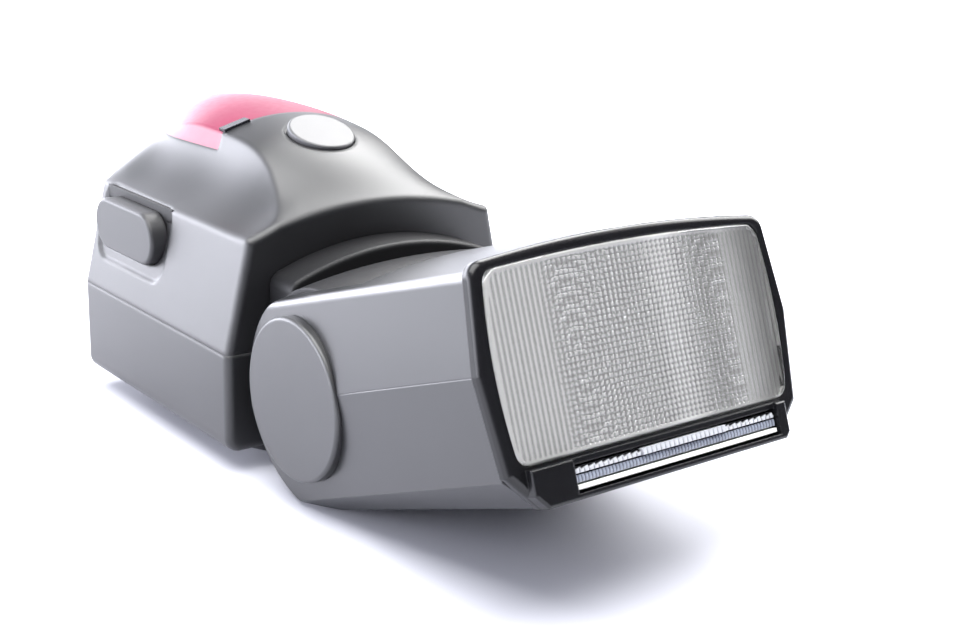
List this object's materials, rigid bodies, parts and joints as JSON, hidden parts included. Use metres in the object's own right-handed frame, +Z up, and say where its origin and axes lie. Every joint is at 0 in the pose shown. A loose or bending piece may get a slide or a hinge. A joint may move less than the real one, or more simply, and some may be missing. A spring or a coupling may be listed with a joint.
{
  "type": "speedlight flash",
  "caption": "Shoe-mount camera flash on its back: zoom head that tilts and swivels, pull-out wide-angle panel and bounce card, rear keys, locking foot.",
  "frame": {"origin": "centre of the box's base, on the surface the flash lies on", "axes": "+X to the right seen from the head, -Y toward the lens, +Y toward the hot-shoe foot, +Z up, away from the rear control panel"},
  "size_m": [0.0678, 0.1662, 0.0649],
  "materials": {
    "shell": "fine grained matte",
    "black_gloss": "polished black",
    "black_matte": "plain matte",
    "clear_lens": "ribbed clear",
    "card": "white sheet",
    "red_window": "dark red translucent",
    "smoke_window": "smoked clear",
    "soft_cover": "matte rubber",
    "steel": "satin",
    "bright_metal": "polished",
    "reflector_metal": "bright",
    "contact_metal": "plated",
    "board": "lacquered board",
    "cell_jacket": "printed sleeve without lettering",
    "winding": "varnished",
    "lcd_grey": "reflective display",
    "lamp_amber": "clear amber",
    "xenon_glass": "clear"
  },
  "bodies": {
    "body": {"body_front_shell": "shell", "body_rear_shell": "shell", "body_screws": "steel", "af_window": "red_window", "af_module": "lamp_amber", "sensor_window": "smoke_window", "door_pin": "steel", "terminal_block": "black_matte", "sync_socket": "bright_metal", "accessory_socket": "black_matte", "power_socket": "black_matte", "swivel_bearing": "black_matte", "aa_cells": "cell_jacket", "cell_contacts": "steel", "main_capacitor": "cell_jacket", "transformer": "winding", "rear_panel": "shell", "lcd_window": "smoke_window", "lcd_module": "lcd_grey", "main_board": "board", "ready_lamp": "lamp_amber", "foot_base": "black_matte", "shoe_plate": "steel", "foot_contacts": "contact_metal"},
    "battery_door": {"battery_door": "shell", "door_contacts": "steel"},
    "terminal_cover": {"terminal_cover": "soft_cover"},
    "power_cap": {"power_cap": "soft_cover"},
    "lock_wheel": {"lock_wheel": "black_matte"},
    "lock_pin": {"lock_pin": "bright_metal"},
    "mode_key": {"mode_key": "black_matte"},
    "zoom_key": {"zoom_key": "black_matte"},
    "minus_key": {"minus_key": "black_matte"},
    "plus_key": {"plus_key": "black_matte"},
    "power_key": {"power_key": "black_matte"},
    "test_key": {"test_key": "black_matte"},
    "neck": {"neck_platform": "shell", "neck_drum": "black_matte", "tilt_hubs": "steel", "swivel_tube": "steel", "swivel_retainer": "steel"},
    "head": {"head_front_shell": "shell", "head_back_shell": "shell", "head_screws": "steel", "front_bezel": "black_gloss", "flash_lens": "clear_lens", "side_cap_left": "shell", "side_cap_right": "shell", "zoom_frame": "black_matte", "guide_rods": "bright_metal", "zoom_motor": "steel", "trigger_coil": "winding"},
    "tilt_lock_button": {"tilt_lock_button": "black_matte"},
    "wide_panel": {"wide_panel": "clear_lens"},
    "bounce_card": {"bounce_card": "card"},
    "zoom_carriage": {"zoom_carriage": "black_matte", "reflector": "reflector_metal", "flash_tube": "xenon_glass"},
    "zoom_screw": {"zoom_screw": "steel"}
  },
  "joints": [
    {"name": "head_swivel", "type": "hinge", "parent": "body", "child": "neck", "pos_m": [0, -0.018, 0.022], "axis": [0, 1, 0], "range_deg": [-180, 90]},
    {"name": "head_tilt", "type": "hinge", "parent": "neck", "child": "head", "pos_m": [0, -0.018, 0.022], "axis": [-1, 0, 0], "range_deg": [-20.5, 69.5]},
    {"name": "lock_button_press", "type": "slide", "parent": "head", "child": "tilt_lock_button", "axis": [-1, 0, 0], "range_m": [0, 0.0009], "stiffness_N_per_m": 800},
    {"name": "wide_panel_slide", "type": "slide", "parent": "head", "child": "wide_panel", "axis": [0, -0.9367, 0.3502], "range_m": [0, 0.042]},
    {"name": "bounce_card_slide", "type": "slide", "parent": "head", "child": "bounce_card", "axis": [0, -0.9367, 0.3502], "range_m": [0, 0.04]},
    {"name": "zoom_slide", "type": "slide", "parent": "head", "child": "zoom_carriage", "axis": [0, -0.9367, 0.3502], "range_m": [0, 0.012]},
    {"name": "zoom_screw_spin", "type": "hinge", "parent": "head", "child": "zoom_screw", "pos_m": [-0.0264, -0.05266, 0.0435], "axis": [0, -0.9367, 0.3502], "range_deg": [0, 725]},
    {"name": "battery_door_hinge", "type": "hinge", "parent": "body", "child": "battery_door", "pos_m": [0.0326, 0.0405, 0.012], "axis": [0, 1, 0], "range_deg": [0, 95]},
    {"name": "terminal_cover_pull", "type": "slide", "parent": "body", "child": "terminal_cover", "axis": [-1, 0, 0], "range_m": [0, 0.012]},
    {"name": "power_cap_pull", "type": "slide", "parent": "body", "child": "power_cap", "axis": [0, -0.342, 0.9397], "range_m": [0, 0.008]},
    {"name": "lock_wheel_turn", "type": "hinge", "parent": "body", "child": "lock_wheel", "pos_m": [0, 0.075, 0.026], "axis": [0, 1, 0], "range_deg": [0, 180.5]},
    {"name": "lock_pin_drop", "type": "slide", "parent": "body", "child": "lock_pin", "axis": [0, 1, 0], "range_m": [0, 0.0018]},
    {"name": "mode_key_press", "type": "slide", "parent": "body", "child": "mode_key", "axis": [0, 0, 1], "range_m": [0, 0.0006], "stiffness_N_per_m": 600},
    {"name": "zoom_key_press", "type": "slide", "parent": "body", "child": "zoom_key", "axis": [0, 0, 1], "range_m": [0, 0.0006], "stiffness_N_per_m": 600},
    {"name": "minus_key_press", "type": "slide", "parent": "body", "child": "minus_key", "axis": [0, 0, 1], "range_m": [0, 0.0006], "stiffness_N_per_m": 600},
    {"name": "plus_key_press", "type": "slide", "parent": "body", "child": "plus_key", "axis": [0, 0, 1], "range_m": [0, 0.0006], "stiffness_N_per_m": 600},
    {"name": "power_key_press", "type": "slide", "parent": "body", "child": "power_key", "axis": [0, 0, 1], "range_m": [0, 0.0006], "stiffness_N_per_m": 600},
    {"name": "test_key_press", "type": "slide", "parent": "body", "child": "test_key", "axis": [0, 0, 1], "range_m": [0, 0.0006], "stiffness_N_per_m": 600}
  ],
  "couplings": [
    {"joint": "zoom_screw_spin", "follows": "zoom_slide", "rad_per_m": 1047.2},
    {"joint": "lock_wheel_turn", "follows": "lock_pin_drop", "rad_per_m": 1745.3}
  ]
}
